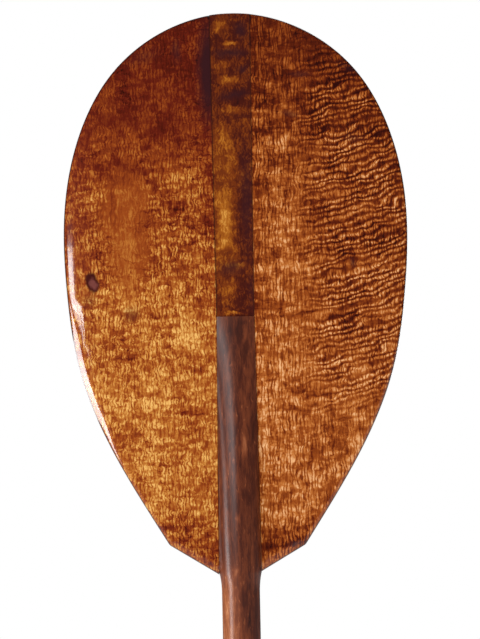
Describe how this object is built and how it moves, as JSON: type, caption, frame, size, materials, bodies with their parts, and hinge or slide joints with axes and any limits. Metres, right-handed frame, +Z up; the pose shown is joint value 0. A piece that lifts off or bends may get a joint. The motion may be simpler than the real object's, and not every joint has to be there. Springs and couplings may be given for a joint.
{
  "type": "outrigger canoe paddle",
  "caption": "Wooden outrigger canoe paddle: oval blade glued up from boards, raised spine, round shaft and T-grip.",
  "frame": {"origin": "on the shaft's axis, level with the palm side of the T-grip, which is the lowest point", "axes": "+Z up along the shaft towards the blade's tip, +X across the blade, -Y the front with the raised spine"},
  "size_m": [0.2753, 0.032, 1.27],
  "materials": {
    "shaft_wood": "dark red-brown hardwood under gloss varnish",
    "strip_wood": "figured brown and gold hardwood under gloss varnish",
    "left_wing_wood": "golden-orange koa-like hardwood under gloss varnish",
    "right_wing_wood": "fiddleback koa-like hardwood under gloss varnish",
    "grip_wood": "red-brown koa-like hardwood under gloss varnish",
    "joint_wood": "plain pale hardwood, unfinished where hidden"
  },
  "bodies": {
    "root": {"shaft": "shaft_wood", "center_strip": "strip_wood", "left_wing": "left_wing_wood", "right_wing": "right_wing_wood", "left_spline": "joint_wood", "right_spline": "joint_wood", "t_grip": "grip_wood", "grip_dowel": "joint_wood"}
  },
  "joints": []
}
